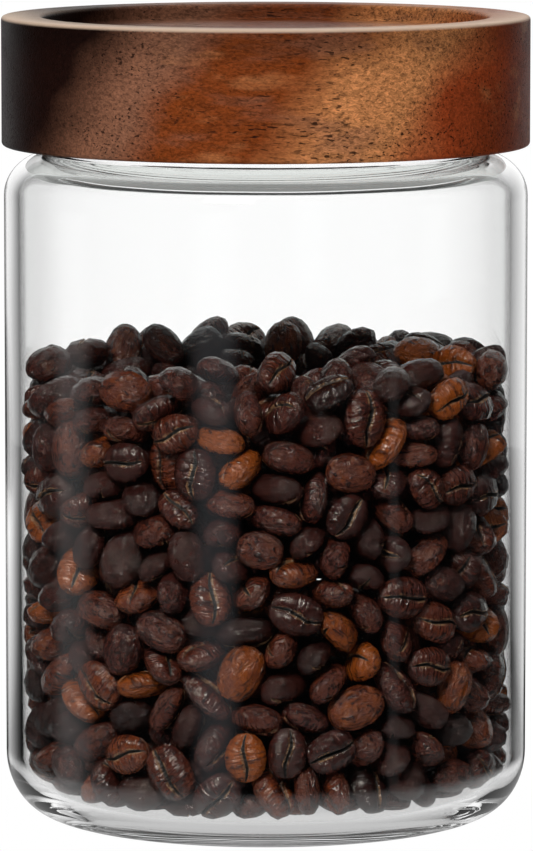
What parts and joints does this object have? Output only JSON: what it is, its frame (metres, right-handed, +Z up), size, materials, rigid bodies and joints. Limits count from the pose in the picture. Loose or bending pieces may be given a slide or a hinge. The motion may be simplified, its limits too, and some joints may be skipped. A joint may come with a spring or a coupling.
{
  "type": "food canister",
  "caption": "Round clear glass food canister with a rounded heel and shoulder, and a turned wooden screw lid with a recessed top and a silicone seal.",
  "frame": {"origin": "centre of the jar's foot, on the surface it stands on", "axes": "+Z up along the jar's axis and the lid's screw axis; the jar is round, so X and Y are free"},
  "size_m": [0.1, 0.1, 0.152],
  "materials": {
    "clear_glass": "clear fire-polished glass",
    "lid_wood": "oiled dark acacia, satin",
    "seal_silicone": "milky translucent silicone, satin"
  },
  "bodies": {
    "jar": {"glass_jar": "clear_glass"},
    "seal": {"silicone_seal": "seal_silicone"},
    "lid": {"wooden_lid": "lid_wood"}
  },
  "joints": [
    {"name": "lid_rise", "type": "slide", "parent": "jar", "child": "seal", "axis": [0, 0, 1], "range_m": [0, 0.018]},
    {"name": "lid_turn", "type": "hinge", "parent": "seal", "child": "lid", "pos_m": [0, 0, 0.1276], "axis": [0, 0, 1], "range_deg": [0, 1080]}
  ],
  "couplings": [
    {"joint": "lid_rise", "follows": "lid_turn", "m_per_rad": 0.00095492}
  ]
}
